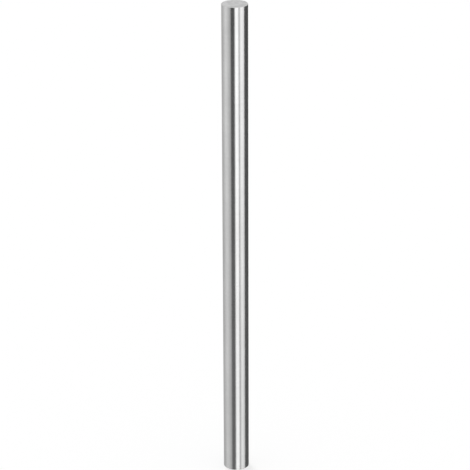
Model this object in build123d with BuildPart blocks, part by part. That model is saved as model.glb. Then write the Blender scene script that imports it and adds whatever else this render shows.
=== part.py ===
"""A plain round steel rod, cut square at both ends with the sharp edges taken off.

The rod stands on its end: the origin is the centre of the lower end face and +Z runs up the axis.
Sizes are in millimetres.
"""

import os

from build123d import *

# Driving dimensions
rod_diameter = 12.0  # bright round bar, ground to size
rod_length = 230.0  # end face to end face
edge_break = 0.15  # 45 degree chamfer that takes the burr off each end

os.makedirs("parts", exist_ok=True)

# The rod is one solid: the bar is turned about its axis from half of its long section, which holds
# the two flat end faces and the round side.
with BuildPart() as rod:
    with BuildSketch(Plane.XZ):
        Rectangle(rod_diameter / 2, rod_length, align=(Align.MIN, Align.MIN))
    revolve(axis=Axis.Z)
    # The two circles where an end face meets the side are the edges that get broken.
    end_rims = rod.edges().filter_by(GeomType.CIRCLE)
    chamfer(end_rims, length=edge_break)

rod.part.label = "rod"
export_step(rod.part, "parts/rod.step")

print(f"rod: {rod_diameter} mm round, {rod_length} mm long, {rod.part.volume:.0f} mm3")
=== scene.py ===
# %% [markdown]
# # A ground steel rod
#
# The part is one plain round bar of bright steel: its side is ground to size, its two ends are faced
# square, and a small chamfer takes the sharp edge off each end. The CAD model fixes every size, and
# this notebook adds what a machinist would see on it: the finish that each tool left behind.
#
# A shape this plain lives by its reflections, so the notebook has three jobs. It turns a smooth bar
# with true little edges, gives each machined surface its own steel, and builds a studio whose cards
# draw the light and dark bands down the side.

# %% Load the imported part
import math
from dataclasses import dataclass

import bmesh
import bpy
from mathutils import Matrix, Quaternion, Vector


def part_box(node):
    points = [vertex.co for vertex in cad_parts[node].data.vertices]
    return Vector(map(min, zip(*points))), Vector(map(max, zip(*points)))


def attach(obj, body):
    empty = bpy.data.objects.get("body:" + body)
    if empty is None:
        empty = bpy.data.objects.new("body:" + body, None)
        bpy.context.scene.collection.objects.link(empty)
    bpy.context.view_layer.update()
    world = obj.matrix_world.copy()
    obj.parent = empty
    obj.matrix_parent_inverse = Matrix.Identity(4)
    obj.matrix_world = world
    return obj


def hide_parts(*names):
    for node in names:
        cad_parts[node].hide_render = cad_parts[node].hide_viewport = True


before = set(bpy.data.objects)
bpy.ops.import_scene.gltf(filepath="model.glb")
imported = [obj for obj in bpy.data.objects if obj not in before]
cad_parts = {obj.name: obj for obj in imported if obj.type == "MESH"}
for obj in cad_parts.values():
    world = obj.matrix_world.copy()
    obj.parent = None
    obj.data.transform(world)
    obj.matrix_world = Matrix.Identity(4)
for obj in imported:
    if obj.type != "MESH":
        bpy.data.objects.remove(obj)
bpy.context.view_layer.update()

# %% [markdown]
# ## Writing node trees as sums
#
# Both the shape and the finishes are node trees. They could be drawn by hand in the node editor, but
# a sum is easier to read than a page of boxes. So a `Wire` stands for the value that leaves one
# socket, and adding two wires adds the Math node that does it. The reflected forms are there too, so
# that `1 - mask` works as it would on paper.


# %% A wire
def pick(sockets, name):
    """The socket of that name or place, among those that the node's settings leave switched on."""
    live = [socket for socket in sockets if socket.enabled]
    if isinstance(name, int):
        return live[name]
    return next(socket for socket in live if socket.name == name)


class Wire:
    """The value that leaves one socket. An operator on it adds the Math node that does the sum."""

    def __init__(self, sheet, socket):
        self.sheet = sheet
        self.socket = socket

    def __getitem__(self, name):
        """Another output of the same node."""
        return Wire(self.sheet, pick(self.socket.node.outputs, name))

    def __add__(self, other):
        return self.sheet.maths("ADD", self, other)

    def __radd__(self, other):
        return self.sheet.maths("ADD", other, self)

    def __sub__(self, other):
        return self.sheet.maths("SUBTRACT", self, other)

    def __rsub__(self, other):
        return self.sheet.maths("SUBTRACT", other, self)

    def __mul__(self, other):
        return self.sheet.maths("MULTIPLY", self, other)

    def __rmul__(self, other):
        return self.sheet.maths("MULTIPLY", other, self)

    def __truediv__(self, other):
        return self.sheet.maths("DIVIDE", self, other)

    def __rtruediv__(self, other):
        return self.sheet.maths("DIVIDE", other, self)

    def __neg__(self):
        return self.sheet.maths("MULTIPLY", self, -1)

    def __abs__(self):
        return self.sheet.maths("ABSOLUTE", self)

    def __gt__(self, other):
        return self.sheet.maths("GREATER_THAN", self, other)

    def __lt__(self, other):
        return self.sheet.maths("LESS_THAN", self, other)


# %% [markdown]
# Every other node comes from `Sheet.node`. It takes the node's type, then its settings, then what
# goes into its sockets, and hands back the wire of one output. The settings come first because they
# switch sockets on and off. The three kinds of node that come up most get short names of their own.


# %% A sheet
class Sheet:
    """A node tree on the drawing board."""

    def __init__(self, tree):
        self.tree = tree

    def node(self, kind, settings=None, sockets=None, out=0):
        """Adds a node and returns the wire of one output, if it has any.

        The setting "choices" is the number of inputs on an Index Switch, which have to be added.
        """
        made = self.tree.nodes.new(kind)
        for name, value in (settings or {}).items():
            if name == "choices":
                while len(made.index_switch_items) < value:
                    made.index_switch_items.new()
            else:
                setattr(made, name, value)
        for name, value in (sockets or {}).items():
            socket = pick(made.inputs, name)
            if isinstance(value, Wire):
                self.tree.links.new(value.socket, socket)
            else:
                socket.default_value = value
        return Wire(self, pick(made.outputs, out)) if made.outputs else None

    def maths(self, operation, *values):
        return self.node("ShaderNodeMath", {"operation": operation}, dict(enumerate(values)))

    def point(self, x, y, z):
        return self.node("ShaderNodeCombineXYZ", {}, {"X": x, "Y": y, "Z": z})

    def ease(self, value, start, end):
        """0 before start, 1 past end and a smooth rise between them. Start may be the larger one."""
        return self.node(
            "ShaderNodeMapRange",
            {"interpolation_type": "SMOOTHSTEP"},
            {"Value": value, "From Min": start, "From Max": end},
        )


# %% [markdown]
# ## Steel, and the marks of its tools
#
# Bare steel has no paint to look at: its colour is a nearly neutral grey, and the rest is how it
# mirrors the room. So every finish here is a fully metallic Principled shader, and what tells them
# apart is roughness. A tool that runs round the axis leaves grooves round the axis. Along a groove
# the metal is smooth and mirrors sharply; across the grooves it is rough and smears the reflection.
# That is what Anisotropic does. Its Rotation of a quarter turn lays the smear across the grooves,
# since Blender's own tangent already runs round the Z axis.
#
# The grooves themselves could be an image wrapped round the bar, but that shows a seam where its
# ends meet, and so does any pattern made from the angle. Noise on the part's own coordinates has no
# seam. It is only stretched: short waves across the grooves and long ones round the axis.


# %% Shared parts of the steel finishes
MILLIMETRE = 0.001
QUARTER_TURN = 0.25
STEEL_GREY = 0.66  # how much light clean steel gives back, looked at square on


def start_finish(name):
    """A new material with an empty sheet, and the place on the part in metres from its foot."""
    finish = bpy.data.materials.new(name)
    finish.use_nodes = True
    finish.node_tree.nodes.clear()
    sheet = Sheet(finish.node_tree)
    here = sheet.node("ShaderNodeTexCoord", out="Object")
    return finish, sheet, sheet.node("ShaderNodeSeparateXYZ", {}, {0: here})


def noise(sheet, x, y, z, detail=2.0, roughness=0.5):
    """Soft noise from -0.5 to 0.5, with one wave for each whole step of the three numbers."""
    waves = sheet.node(
        "ShaderNodeTexNoise",
        {"noise_dimensions": "3D"},
        {"Vector": sheet.point(x, y, z), "Scale": 1.0, "Detail": detail, "Roughness": roughness},
    )
    return waves - 0.5


def grooves(sheet, place, across, pitch, run, detail=2.0, roughness=0.5):
    """Tool marks round the axis, about run long, and pitch apart in the direction of across."""
    return noise(sheet, place["X"] / run, place["Y"] / run, across / pitch, detail, roughness)


def patches(sheet, place, width, length, detail=2.0, roughness=0.5):
    """Soft marks, about width wide across the axis and length long beside it."""
    return noise(sheet, place["X"] / width, place["Y"] / width, place["Z"] / length, detail, roughness)


def finish_steel(finish, sheet, grey, roughness, height, depth, smear):
    """Ends a finish: grey and roughness vary over the surface, and height presses it in by depth."""
    colour = sheet.node("ShaderNodeCombineColor", {}, {"Red": grey, "Green": grey, "Blue": grey})
    pressed = sheet.node("ShaderNodeBump", {}, {"Strength": 1.0, "Distance": depth, "Height": height})
    steel = sheet.node(
        "ShaderNodeBsdfPrincipled",
        {},
        {
            "Base Color": colour,
            "Metallic": 1.0,
            "Roughness": roughness,
            "Anisotropic": smear,
            "Anisotropic Rotation": QUARTER_TURN,
            "Normal": pressed,
        },
    )
    sheet.node("ShaderNodeOutputMaterial", {}, {"Surface": steel})
    print(finish.name, "has", len(finish.node_tree.nodes), "nodes")
    return finish


# %% [markdown]
# ## The ground side
#
# Between the wheels of a centreless grinder the bar spins and creeps forward, so its side carries
# fine lines round it, about five to the millimetre, and here and there a broader one where a coarser
# grain passed. They could be modelled as real grooves, but they are only a few thousandths of a
# millimetre deep, so a bump does them well.
#
# Nor is such a side one even grey. The wheel presses a little more here and a little less there, and
# the oil that keeps rust off lies unevenly, so the tone drifts in soft patches. They are four times
# as long as they are wide, and a patch covers only part of the side that faces you, so the left and
# the right of the bar don't brighten together.


# %% Ground side
def ground_side():
    finish, sheet, place = start_finish("ground_steel")
    up = place["Z"]
    fine = grooves(sheet, place, up, 0.22 * MILLIMETRE, 9 * MILLIMETRE, detail=4.0, roughness=0.75)
    broad = grooves(sheet, place, up, pitch=0.9 * MILLIMETRE, run=30 * MILLIMETRE)
    drift = patches(sheet, place, 7.5 * MILLIMETRE, 30 * MILLIMETRE, detail=4.0, roughness=0.65)
    grey = STEEL_GREY + 0.10 * fine + 0.03 * broad + 0.22 * drift
    roughness = 0.25 + 0.008 * fine + 0.03 * drift
    height = 0.7 * fine + 0.3 * broad
    return finish_steel(finish, sheet, grey, roughness, height, depth=0.003 * MILLIMETRE, smear=0.87)


side_finish = ground_side()

# %% [markdown]
# ## The faced ends
#
# In the lathe a pointed tool is drawn from the rim to the centre while the bar spins, which leaves
# rings all round the centre. The cut is coarser than the grinding, so an end looks matt beside the
# side. The same grooves do it, with the distance from the axis in place of the height. A cloudy
# mottle stands for the film of oil and fingers that raw steel picks up.


# %% Faced ends
def faced_end():
    finish, sheet, place = start_finish("faced_steel")
    out = sheet.maths("SQRT", place["X"] * place["X"] + place["Y"] * place["Y"])
    fine = grooves(sheet, place, out, 0.22 * MILLIMETRE, 9 * MILLIMETRE, detail=3.0, roughness=0.6)
    broad = grooves(sheet, place, out, pitch=0.9 * MILLIMETRE, run=14 * MILLIMETRE)
    film = patches(sheet, place, 2.2 * MILLIMETRE, 2.2 * MILLIMETRE, detail=3.0)
    mottle = sheet.ease(film, -0.15, 0.15) - 0.5
    grey = STEEL_GREY + 0.20 * fine + 0.14 * broad + 0.15 * mottle
    roughness = 0.44 + 0.08 * fine + 0.08 * mottle
    height = 0.6 * fine + 0.4 * broad
    return finish_steel(finish, sheet, grey, roughness, height, depth=0.006 * MILLIMETRE, smear=0.5)


end_finish = faced_end()

# %% [markdown]
# ## The broken edge
#
# The last touch is a small chamfer, cut with one quick pass of a tool at 45 degrees. It is the
# cleanest metal on the bar, a little brighter than the rest, and it catches a hairline of light,
# which small nicks break here and there.


# %% Broken edge
def broken_edge():
    finish, sheet, place = start_finish("edge_steel")
    fine = grooves(sheet, place, place["Z"], pitch=0.05 * MILLIMETRE, run=4 * MILLIMETRE)
    nicks = patches(sheet, place, 0.8 * MILLIMETRE, 0.8 * MILLIMETRE)
    grey = 0.70 + 0.08 * fine + 0.10 * nicks
    roughness = 0.30 + 0.10 * nicks
    return finish_steel(finish, sheet, grey, roughness, fine, depth=0.002 * MILLIMETRE, smear=0.6)


edge_finish = broken_edge()

# %% [markdown]
# ## Turning the bar
#
# A turned part is a flat section swept once round an axis. Blender can do that with its Spin tool,
# with a Screw modifier or, as here, with Curve to Mesh: a circle the size of the bar is the path,
# and half of the bar's long section is the profile that rides round it. Geometry Nodes keep the
# sizes as named inputs, so another bar is only another set of numbers.
#
# The section is drawn from the centre of the upper face, out over the edge, down the side and back
# to the centre of the lower face. Distances across are measured inwards from the side, because the
# path is already as wide as the bar, and distances along are measured down from the upper face. A
# point close beside each chamfer, on the flat and on the side, holds the shading: without it the
# rounded corner would tint the whole face beside it.


# %% The section of the bar
def draw_section(sheet, given):
    """The bar's half section as a curve, with its four corners just softened."""
    radius = given["Diameter"] / 2
    length = given["Length"]
    chamfer = given["Edge Break"]
    held = chamfer + given["Hold"]
    soft = given["Corner Radius"]
    points = [  # across, along, rounding
        (-radius, 0.0, 0.0),
        (-held, 0.0, 0.0),
        (-chamfer, 0.0, soft),
        (0.0, chamfer, soft),
        (0.0, held, 0.0),
        (0.0, length - held, 0.0),
        (0.0, length - chamfer, soft),
        (-chamfer, length, soft),
        (-held, length, 0.0),
        (-radius, length, 0.0),
    ]
    index = sheet.node("GeometryNodeInputIndex")

    def by_index(data_type, values):
        settings = {"data_type": data_type, "choices": len(values)}
        sockets = {str(place): value for place, value in enumerate(values)}
        return sheet.node("GeometryNodeIndexSwitch", settings, {"Index": index, **sockets})

    line = sheet.node("GeometryNodeMeshLine", {}, {"Count": len(points)})
    places = by_index("VECTOR", [sheet.point(across, along, 0.0) for across, along, _ in points])
    placed = sheet.node("GeometryNodeSetPosition", {}, {"Geometry": line, "Position": places})
    curve = sheet.node("GeometryNodeMeshToCurve", {}, {"Mesh": placed})
    rounding = by_index("FLOAT", [rounding for _, _, rounding in points])
    return sheet.node(
        "GeometryNodeFilletCurve",
        {"mode": "POLY"},
        {"Curve": curve, "Count": 4, "Radius": rounding, "Limit Radius": True},
    )


# %% [markdown]
# A straight run of the section is a single step, however long it is. Left so, the side would be a
# ring of slivers as long as the bar. Each run is therefore cut into steps of a set spacing, and the
# rule is a field: the distance from a point to the next one, divided by the spacing.


# %% Rings along the straight runs
def cut_into_rings(sheet, given, section):
    place = sheet.node("GeometryNodeInputPosition")
    index = sheet.node("GeometryNodeInputIndex")
    next_place = sheet.node(
        "GeometryNodeFieldAtIndex",
        {"data_type": "FLOAT_VECTOR", "domain": "POINT"},
        {"Index": index + 1, "Value": place},
    )
    run = sheet.node(
        "ShaderNodeVectorMath", {"operation": "DISTANCE"}, {0: place, 1: next_place}, out="Value"
    )
    cuts = sheet.maths("FLOOR", run / given["Ring Spacing"])
    return sheet.node("GeometryNodeSubdivideCurve", {}, {"Curve": section, "Cuts": cuts})


# %% [markdown]
# The sweep leaves all the points of the two centres in one place each, which Merge by Distance
# welds into proper poles. Which finish a face gets follows from how far it tilts: everything starts
# as ground side, then whatever tilts at all becomes broken edge, and what lies flat is a faced end.


# %% The lathe
WELD_DISTANCE = 1e-7
EDGE_TILT = 0.1  # a face's tilt is 0 on the side, 0.7 on the chamfer and 1 on an end
END_TILT = 0.999


def lathe_tree():
    tree = bpy.data.node_groups.new("bar_lathe", "GeometryNodeTree")
    for name in ("Diameter", "Length", "Edge Break", "Corner Radius", "Hold", "Ring Spacing"):
        tree.interface.new_socket(name, in_out="INPUT", socket_type="NodeSocketFloat")
    tree.interface.new_socket("Slices", in_out="INPUT", socket_type="NodeSocketInt")
    tree.interface.new_socket("Bar", in_out="OUTPUT", socket_type="NodeSocketGeometry")
    sheet = Sheet(tree)
    given = sheet.node("NodeGroupInput")

    section = cut_into_rings(sheet, given, draw_section(sheet, given))
    circle = sheet.node(
        "GeometryNodeCurvePrimitiveCircle",
        {},
        {"Resolution": given["Slices"], "Radius": given["Diameter"] / 2},
    )
    path = sheet.node(
        "GeometryNodeTransform",
        {},
        {"Geometry": circle, "Translation": sheet.point(0.0, 0.0, given["Length"])},
    )
    swept = sheet.node("GeometryNodeCurveToMesh", {}, {"Curve": path, "Profile Curve": section})
    welded = sheet.node(
        "GeometryNodeMergeByDistance", {}, {"Geometry": swept, "Distance": WELD_DISTANCE}
    )
    smooth = sheet.node("GeometryNodeSetShadeSmooth", {}, {"Geometry": welded})
    bar = sheet.node("GeometryNodeRealizeInstances", {}, {"Geometry": smooth})

    bar = sheet.node("GeometryNodeSetMaterial", {}, {"Geometry": bar, "Material": side_finish})
    facing = sheet.node("GeometryNodeInputNormal")
    tilt = abs(sheet.node("ShaderNodeSeparateXYZ", {}, {0: facing})["Z"])
    for finish, least_tilt in ((edge_finish, EDGE_TILT), (end_finish, END_TILT)):
        bar = sheet.node(
            "GeometryNodeSetMaterial",
            {},
            {"Geometry": bar, "Selection": tilt > least_tilt, "Material": finish},
        )
    sheet.node("NodeGroupOutput", {}, {"Bar": bar})
    print("lathe tree:", len(tree.nodes), "nodes")
    return tree


bar_lathe = lathe_tree()

# %% [markdown]
# The bar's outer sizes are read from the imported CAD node. Only the edge break repeats a size of the
# CAD model. The rounding of its corners, a few hundredths of a millimetre, is what a real edge has
# after one wipe with a fine stone. The lathe runs once, what comes out becomes the object's own
# mesh, and the modifier is taken off again.

# %% Turn it
rod_low, rod_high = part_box("rod")
bar_sizes = {
    "Diameter": rod_high.x - rod_low.x,
    "Length": rod_high.z - rod_low.z,
    "Edge Break": 0.15 * MILLIMETRE,
    "Corner Radius": 0.04 * MILLIMETRE,
    "Hold": 0.1 * MILLIMETRE,
    "Ring Spacing": 5 * MILLIMETRE,
    "Slices": 256,
}


def turn_bar(name, tree, sizes):
    """A plain mesh object, made by running the tree once with those sizes."""
    bar = bpy.data.objects.new(name, bpy.data.meshes.new("blank"))
    bpy.context.scene.collection.objects.link(bar)
    lathe = bar.modifiers.new("lathe", "NODES")
    lathe.node_group = tree
    for item in tree.interface.items_tree:
        if item.in_out == "INPUT":
            lathe[item.identifier] = sizes[item.name]
    turned = bar.evaluated_get(bpy.context.evaluated_depsgraph_get())
    bar.data = bpy.data.meshes.new_from_object(turned)
    bar.data.name = name
    bar.modifiers.clear()
    return bar


steel_rod = turn_bar("steel_rod", bar_lathe, bar_sizes)
print(steel_rod.name, "is", tuple(round(size / MILLIMETRE, 3) for size in steel_rod.dimensions), "mm")

# %% [markdown]
# A solid that was turned well is closed, and its volume is that of a cylinder less two thin rings.
# Measuring it is a quick proof that the seam and the poles are shut and that the faces look out:
# an open or inside-out mesh gives the wrong number or a negative one.


# %% Measure it
def measure(piece):
    probe = bmesh.new()
    probe.from_mesh(piece.data)
    open_edges = sum(not edge.is_manifold for edge in probe.edges)
    volume = probe.calc_volume(signed=True) / MILLIMETRE**3
    print(f"{piece.name}: {len(probe.faces)} faces, {open_edges} open edges, {volume:.0f} mm3")
    probe.free()


measure(steel_rod)
cylinder = math.pi * bar_sizes["Diameter"] ** 2 / 4 * bar_sizes["Length"] / MILLIMETRE**3
print(f"a sharp-edged cylinder of that size: {cylinder:.0f} mm3")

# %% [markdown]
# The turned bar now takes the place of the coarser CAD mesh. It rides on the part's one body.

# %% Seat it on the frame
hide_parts("rod")
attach(steel_rod, "root")
print(steel_rod.name, "is finished in", [finish.name for finish in steel_rod.data.materials])

# %% [markdown]
# ## The studio
#
# A metal cylinder mirrors the whole room, squeezed into its width. So the room is built for it:
# grey walls, bright cards and black flags stand in a ring, and each one becomes an upright band
# down the rod. The middle of the rod mirrors what is beside the lens, and its edges mirror what is
# far behind it.
#
# The ring could be made of real panels, but a world shader is steadier: the bands run clean from
# end to end and nothing stands in the way of other views. A card is a smooth bump in brightness
# about its own direction, and one further down the list stands in front of those before it. The
# camera looks down on the rod, so its upper end mirrors the ring some way below the horizon and its
# foot mirrors it lower still, where the cards have less contrast, as real ones do near the floor.
# The flag by the lens leans a few degrees on its stand, so its black band isn't quite in line with
# the others.
#
# The room itself is white. Straight behind the rod no card stands, so there the metal mirrors the
# same white as the camera is shown. Is Camera Ray keeps the cards out of the camera's own view.


# %% The ring of cards
@dataclass
class Card:
    """A card, lamp or flag: its two edges in degrees, and how far each edge blurs.

    Its level is how bright it is where the rod's upper end mirrors it, and its low level where the
    foot does. A strength of 1 is plain white. One that leans stands that many degrees further to the
    left where the foot mirrors it.
    """

    name: str
    start: float
    end: float
    level: float
    low_level: float
    softness: float
    lean: float = 0.0


# Directions are seen from above: 0 is towards the lens and 90 to its right-hand side.
CARDS = [
    Card("left wall", -174, -38, 0.58, 0.56, 3.0),
    Card("left wall lamp", -107, -61, 0.98, 0.76, 22.0),
    Card("key card", -4, 31.5, 1.73, 1.21, 3.0),
    Card("gap between the cards", 31.5, 43, 0.74, 0.36, 3.0),
    Card("right card", 43, 87, 1.38, 0.69, 4.0),
    Card("right lamp", 50, 72, 1.58, 0.92, 8.0),
    Card("flag by the lens", -37, 0.8, 0.0, 0.24, 6.5, lean=5.0),
    Card("right flag", 86, 158.5, 0.08, 0.12, 4.0),
]
ROOM_WHITE = 1.0  # the world strength that renders as plain white
CEILING_LEVEL = 0.80
# Heights are in degrees above the horizon.
UPPER_END_MIRRORS = -17.0
FOOT_MIRRORS = -28.0
CARD_TOP = 4.0
CEILING_START = 22.0


def ring_of_cards(sheet, azimuth, low):
    """How bright the ring is. Low is 0 at the height that the upper end mirrors and 1 at the foot's."""
    half_turn = 180.0
    ring = ROOM_WHITE
    for card in CARDS:
        centre = (card.start + card.end) / 2
        half_width = (card.end - card.start) / 2
        aside = azimuth - centre + card.lean * low
        turned_away = abs(sheet.maths("WRAP", aside, half_turn, -half_turn))
        inside = sheet.ease(turned_away, half_width + card.softness, half_width - card.softness)
        level = card.level + (card.low_level - card.level) * low
        ring = ring + (level - ring) * inside
    return ring


def build_studio():
    world = bpy.data.worlds.new("studio")
    bpy.context.scene.world = world
    world.use_nodes = True
    world.node_tree.nodes.clear()
    sheet = Sheet(world.node_tree)
    way = sheet.node("ShaderNodeTexCoord", out="Generated")
    part = sheet.node("ShaderNodeSeparateXYZ", {}, {0: way})
    degrees = 180 / math.pi
    azimuth = sheet.maths("ARCTAN2", part["X"], -part["Y"]) * degrees
    elevation = sheet.maths("ARCSINE", part["Z"]) * degrees
    low = sheet.ease(elevation, UPPER_END_MIRRORS, FOOT_MIRRORS)
    ring = ring_of_cards(sheet, azimuth, low)
    overhead = sheet.ease(elevation, CARD_TOP, CEILING_START)
    light = ring + (CEILING_LEVEL - ring) * overhead
    seen = sheet.node("ShaderNodeLightPath", out="Is Camera Ray")
    shown = light + (ROOM_WHITE - light) * seen
    glow = sheet.node("ShaderNodeBackground", {}, {"Color": (1, 1, 1, 1), "Strength": shown})
    sheet.node("ShaderNodeOutputWorld", {}, {"Surface": glow})
    print("studio:", len(world.node_tree.nodes), "nodes for", ", ".join(card.name for card in CARDS))


build_studio()

# %% [markdown]
# ## Floor and shadow
#
# The rod stands on a broad white floor that runs out of sight, so that floor and backdrop are one
# white. A part of the floor's white is its own glow, which only the camera sees, and the rest is
# plain diffuse paint that a soft sun keeps at the same level. Where the rod blocks the sun the paint
# darkens, which leaves a pale shadow. The sun comes from behind the rod, so the shadow falls towards
# the lens.
#
# The camera looks down on the rod, so every ray that its side mirrors goes down too. A floor in the
# way would turn the side into one flat white, so the floor is left out of glossy rays. The sun is
# left out of them too, because its reflection would be a hot spot.

# %% Floor and sun
FLOOR_REACH = 7.0
FLOOR_DROP = 0.02 * MILLIMETRE  # keeps the floor from meeting the rod's lower face exactly
FLOOR_PAINT = (0.9, 0.9, 0.9, 1.0)
GLOW_SHARE = 0.6
SUN_STRENGTH = 1.4
SUN_ANGLE = math.radians(25)
SUN_FROM = Vector((-0.35, 0.9, 1.0))


def build_floor():
    square = ((-1, -1), (1, -1), (1, 1), (-1, 1))
    corners = [(x * FLOOR_REACH, y * FLOOR_REACH, -FLOOR_DROP) for x, y in square]
    mesh = bpy.data.meshes.new("floor")
    mesh.from_pydata(corners, [], [(0, 1, 2, 3)])
    floor = bpy.data.objects.new("floor", mesh)
    bpy.context.scene.collection.objects.link(floor)
    paint = bpy.data.materials.new("white_floor")
    paint.use_nodes = True
    paint.node_tree.nodes.clear()
    sheet = Sheet(paint.node_tree)
    matt = sheet.node("ShaderNodeBsdfDiffuse", {}, {"Color": FLOOR_PAINT})
    glow = sheet.node("ShaderNodeEmission", {}, {"Color": (1, 1, 1, 1), "Strength": ROOM_WHITE})
    seen = sheet.node("ShaderNodeLightPath", out="Is Camera Ray")
    surface = sheet.node("ShaderNodeMixShader", {}, {0: seen * GLOW_SHARE, 1: matt, 2: glow})
    sheet.node("ShaderNodeOutputMaterial", {}, {"Surface": surface})
    mesh.materials.append(paint)
    floor.visible_glossy = False
    print("floor:", 2 * FLOOR_REACH, "m square,", FLOOR_DROP / MILLIMETRE, "mm below the rod")


def hang_sun():
    light = bpy.data.lights.new("soft_sun", "SUN")
    light.energy = SUN_STRENGTH
    light.angle = SUN_ANGLE
    sun = bpy.data.objects.new("soft_sun", light)
    sun.rotation_mode = "QUATERNION"
    sun.rotation_quaternion = SUN_FROM.to_track_quat("Z", "Y")
    sun.visible_glossy = False
    bpy.context.scene.collection.objects.link(sun)
    height = math.degrees(math.atan2(SUN_FROM.z, SUN_FROM.xy.length))
    print(f"sun: {height:.0f} degrees above the horizon")


build_floor()
hang_sun()

# %% [markdown]
# ## The camera
#
# A long lens from well back keeps the rod's two ends nearly the same width. The camera stands in
# front, somewhat above, so that it sees the upper face as a thin ellipse. It points a little over
# the rod's middle, because the near upper half takes more room in the picture than the lower one.
# The roll is the small lean that a tripod levelled by hand leaves in the picture.

# %% Camera
LENS = 165.43  # millimetres, as for any camera lens
SENSOR = 36.0  # millimetres across
CAMERA_DISTANCE = 83.0  # rod diameters
CAMERA_ELEVATION = math.radians(22.9)
CAMERA_ROLL = math.radians(-0.218)
AIM_ABOVE_MIDDLE = 4.49 * MILLIMETRE
AIM_ASIDE = -0.25 * MILLIMETRE


def place_camera():
    middle = (rod_low + rod_high) / 2
    back = Vector((0.0, -math.cos(CAMERA_ELEVATION), math.sin(CAMERA_ELEVATION)))
    lens = bpy.data.cameras.new("camera")
    lens.sensor_fit = "HORIZONTAL"
    lens.sensor_width = SENSOR
    lens.lens = LENS
    camera = bpy.data.objects.new("camera", lens)
    camera.location = middle + back * (CAMERA_DISTANCE * bar_sizes["Diameter"])
    aim = middle + Vector((AIM_ASIDE, 0.0, AIM_ABOVE_MIDDLE))
    look = (aim - camera.location).to_track_quat("-Z", "Y")
    camera.rotation_mode = "QUATERNION"
    camera.rotation_quaternion = look @ Quaternion((0.0, 0.0, 1.0), CAMERA_ROLL)
    bpy.context.scene.collection.objects.link(camera)
    bpy.context.scene.camera = camera
    print("camera at", tuple(round(x, 3) for x in camera.location))


place_camera()

# %% [markdown]
# ## The view transform
#
# Colours are shown as they are, with no film curve.

# %% View transform
bpy.context.scene.view_settings.view_transform = "Standard"
